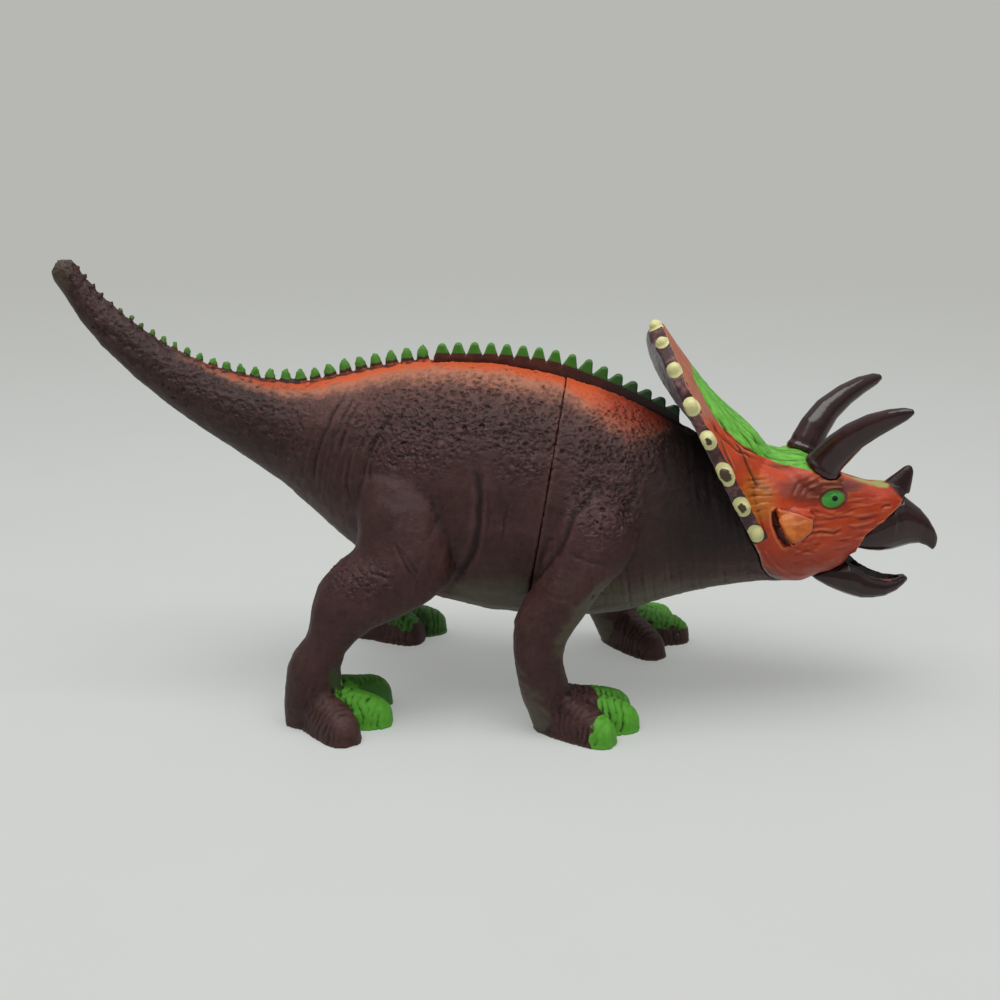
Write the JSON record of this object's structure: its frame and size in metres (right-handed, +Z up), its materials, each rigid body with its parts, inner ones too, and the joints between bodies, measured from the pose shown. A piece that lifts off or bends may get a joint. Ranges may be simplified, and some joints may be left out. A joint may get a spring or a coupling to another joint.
{
  "type": "chomping dinosaur toy",
  "caption": "Horned dinosaur toy with a bony frill and a toothed ridge along its back that is pressed to make the beaked jaw chomp.",
  "frame": {"origin": "on the floor, under the middle of the overall length and width", "axes": "+X the way the head faces, +Y the animal's left, +Z up"},
  "size_m": [0.3, 0.1199, 0.1474],
  "materials": {
    "body_skin": "satin, pebbled",
    "head_skin": "satin, wrinkled",
    "horn": "gloss",
    "crest": "satin",
    "wire": "drawn wire",
    "pin_steel": "bright",
    "inner_plastic": "as moulded"
  },
  "bodies": {
    "body": {"front_body_shell": "body_skin", "rear_body_shell": "body_skin", "head_shell": "head_skin", "brow_horn_right": "horn", "brow_horn_left": "horn", "upper_beak": "horn", "waist_plug": "inner_plastic", "chassis_right": "inner_plastic", "chassis_left": "inner_plastic", "lever_hinge_pin": "pin_steel", "jaw_pivot_pin": "pin_steel", "chassis_screw_1": "pin_steel", "chassis_screw_2": "pin_steel", "chassis_screw_3": "pin_steel", "chassis_screw_4": "pin_steel", "return_spring": "wire"},
    "crest_lever": {"crest_lever": "crest"},
    "push_rod": {"push_rod": "wire"},
    "lower_jaw": {"lower_jaw": "horn"}
  },
  "joints": [
    {"name": "crest_press", "type": "hinge", "parent": "body", "child": "crest_lever", "pos_m": [-0.014, 0, 0.106], "axis": [0, 1, 0], "range_deg": [0, 3.5], "stiffness_Nm_per_rad": 3, "springref_deg": -1.72, "deforming": ["return_spring"]},
    {"name": "rod_swing", "type": "hinge", "parent": "crest_lever", "child": "push_rod", "pos_m": [0.045, 0, 0.06065], "axis": [0, -1, 0], "range_deg": [0, 6.5]},
    {"name": "jaw_close", "type": "hinge", "parent": "body", "child": "lower_jaw", "pos_m": [0.1135, 0, 0.051], "axis": [0, -1, 0], "range_deg": [0, 21]}
  ],
  "couplings": [
    {"joint": "rod_swing", "follows": "crest_press", "ratio": 1.823},
    {"joint": "jaw_close", "follows": "crest_press", "ratio": 6}
  ]
}
